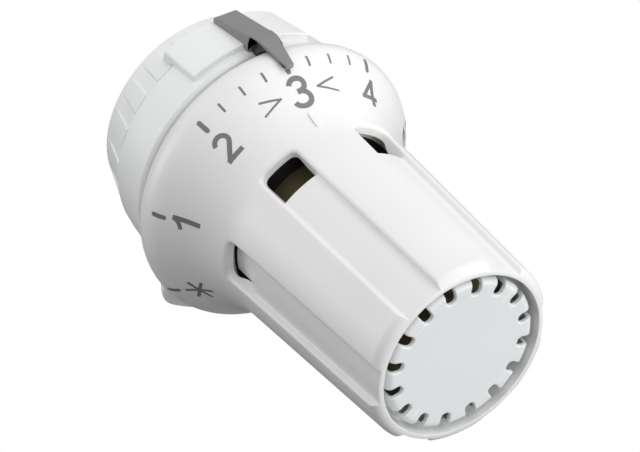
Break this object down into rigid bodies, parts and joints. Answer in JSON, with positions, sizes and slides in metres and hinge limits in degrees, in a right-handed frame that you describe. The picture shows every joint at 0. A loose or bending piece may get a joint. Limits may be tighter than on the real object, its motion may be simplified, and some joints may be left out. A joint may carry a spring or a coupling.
{
  "type": "thermostatic radiator valve head",
  "caption": "Radiator thermostat head: ventilated handle with a flared number dial, pointer on a white base, screw-on coupling ring, and a liquid-filled sensor that drives a sprung thrust cup.",
  "frame": {"origin": "centre of the mouth of the valve thread, at the rear of the coupling ring", "axes": "+Y out of the thread mouth towards the valve, -Y towards the end cap, +Z through the pointer, +X to the right seen from the end cap"},
  "size_m": [0.0518, 0.0793, 0.0566],
  "materials": {
    "white_plastic": "satin moulded white plastic",
    "base_plastic": "satin moulded cool white plastic",
    "cap_plastic": "satin moulded light grey plastic",
    "pointer_plastic": "satin moulded mid grey plastic",
    "black_plastic": "glass-filled black plastic",
    "brass": "turned brass",
    "sensor_metal": "dull brown drawn metal",
    "steel": "zinc plated steel",
    "bronze": "rolled bronze"
  },
  "bodies": {
    "base": {"base_housing": "base_plastic", "pointer": "pointer_plastic", "seat_sleeve": "steel", "guide_cage": "black_plastic", "retaining_wire": "steel", "limit_pins": "pointer_plastic"},
    "coupling": {"grip_ring": "base_plastic", "nut_insert": "brass"},
    "handle": {"handle_shell": "white_plastic", "thread_sleeve": "black_plastic", "end_cap": "cap_plastic"},
    "sensor": {"carriage_nut": "black_plastic", "sensor_can": "sensor_metal", "can_base": "sensor_metal", "filling_plug": "steel", "bellows": "bronze", "bellows_spring": "steel"},
    "plunger": {"bellows_cap": "bronze", "plunger_rod": "steel"},
    "thrust": {"thrust_cup": "brass", "cup_retainer": "steel", "overtravel_spring": "steel"}
  },
  "joints": [
    {"name": "coupling_turn", "type": "hinge", "parent": "base", "child": "coupling", "pos_m": [0, -0.005, 0], "axis": [0, 1, 0], "continuous": true},
    {"name": "dial_turn", "type": "hinge", "parent": "base", "child": "handle", "pos_m": [0, -0.02, 0], "axis": [0, -1, 0], "range_deg": [-121, 80.6]},
    {"name": "sensor_shift", "type": "slide", "parent": "base", "child": "sensor", "axis": [0, -1, 0], "range_m": [-0.00269, 0.00179]},
    {"name": "plunger_stroke", "type": "slide", "parent": "sensor", "child": "plunger", "axis": [0, 1, 0], "range_m": [-0.0015, 0.0015], "stiffness_N_per_m": 2000, "deforming": ["bellows", "bellows_spring"]},
    {"name": "overtravel", "type": "slide", "parent": "plunger", "child": "thrust", "axis": [0, -1, 0], "range_m": [0, 0.0014], "stiffness_N_per_m": 3000, "springref_m": -0.003, "deforming": ["overtravel_spring"]}
  ],
  "couplings": [
    {"joint": "dial_turn", "follows": "sensor_shift", "rad_per_m": 785.4}
  ]
}
